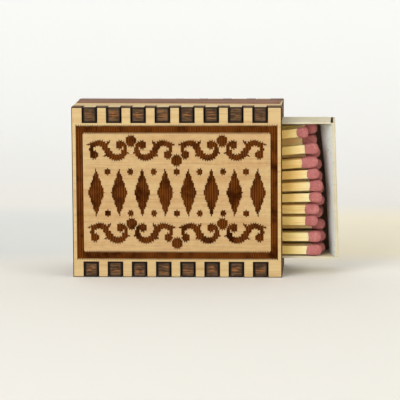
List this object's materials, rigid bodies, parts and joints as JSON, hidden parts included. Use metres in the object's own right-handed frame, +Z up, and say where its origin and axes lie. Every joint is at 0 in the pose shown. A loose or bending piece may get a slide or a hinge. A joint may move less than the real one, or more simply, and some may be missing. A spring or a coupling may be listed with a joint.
{
  "type": "matchbox",
  "caption": "Finger-jointed plywood matchbox sleeve with an engraved ornamental front and a striker strip, and a sliding card tray of pink-headed matches.",
  "frame": {"origin": "middle of the sleeve's underside, on the surface that the box stands on", "axes": "+X along the box, the way the tray is slid out; -Y out of the engraved front; +Z up"},
  "size_m": [0.0698, 0.022, 0.0454],
  "materials": {
    "plywood": "bare birch plywood with burnt engraving and charred cut edges",
    "striker_paper": "gritty matt striking surface",
    "card": "matt grey-white folded card",
    "match_wood": "bare pale aspen",
    "match_head": "matt dusty pink match head compound"
  },
  "bodies": {
    "sleeve": {"front_panel": "plywood", "back_panel": "plywood", "bottom_side": "plywood", "top_side": "plywood", "striker_strip": "striker_paper"},
    "tray": {"tray": "card", "front_stick_1": "match_wood", "front_head_1": "match_head", "front_stick_2": "match_wood", "front_head_2": "match_head", "front_stick_3": "match_wood", "front_head_3": "match_head", "front_stick_4": "match_wood", "front_head_4": "match_head", "front_stick_5": "match_wood", "front_head_5": "match_head", "front_stick_6": "match_wood", "front_head_6": "match_head", "front_stick_7": "match_wood", "front_head_7": "match_head", "front_stick_8": "match_wood", "front_head_8": "match_head", "front_stick_9": "match_wood", "front_head_9": "match_head", "front_stick_10": "match_wood", "front_head_10": "match_head", "middle_stick_1": "match_wood", "middle_head_1": "match_head", "middle_stick_2": "match_wood", "middle_head_2": "match_head", "middle_stick_3": "match_wood", "middle_head_3": "match_head", "middle_stick_4": "match_wood", "middle_head_4": "match_head", "middle_stick_5": "match_wood", "middle_head_5": "match_head", "middle_stick_6": "match_wood", "middle_head_6": "match_head", "middle_stick_7": "match_wood", "middle_head_7": "match_head", "middle_stick_8": "match_wood", "middle_head_8": "match_head", "middle_stick_9": "match_wood", "middle_head_9": "match_head", "middle_stick_10": "match_wood", "middle_head_10": "match_head", "middle_stick_11": "match_wood", "middle_head_11": "match_head", "rear_match_1": "match_wood", "rear_match_2": "match_wood", "rear_match_3": "match_wood", "rear_match_4": "match_wood", "rear_match_5": "match_wood", "rear_match_6": "match_wood", "rear_match_7": "match_wood", "rear_match_8": "match_wood", "rear_match_9": "match_wood", "rear_match_10": "match_wood", "rear_match_11": "match_wood"}
  },
  "joints": [
    {"name": "tray_slide", "type": "slide", "parent": "sleeve", "child": "tray", "axis": [1, 0, 0], "range_m": [-0.0508, 0.0192]}
  ]
}
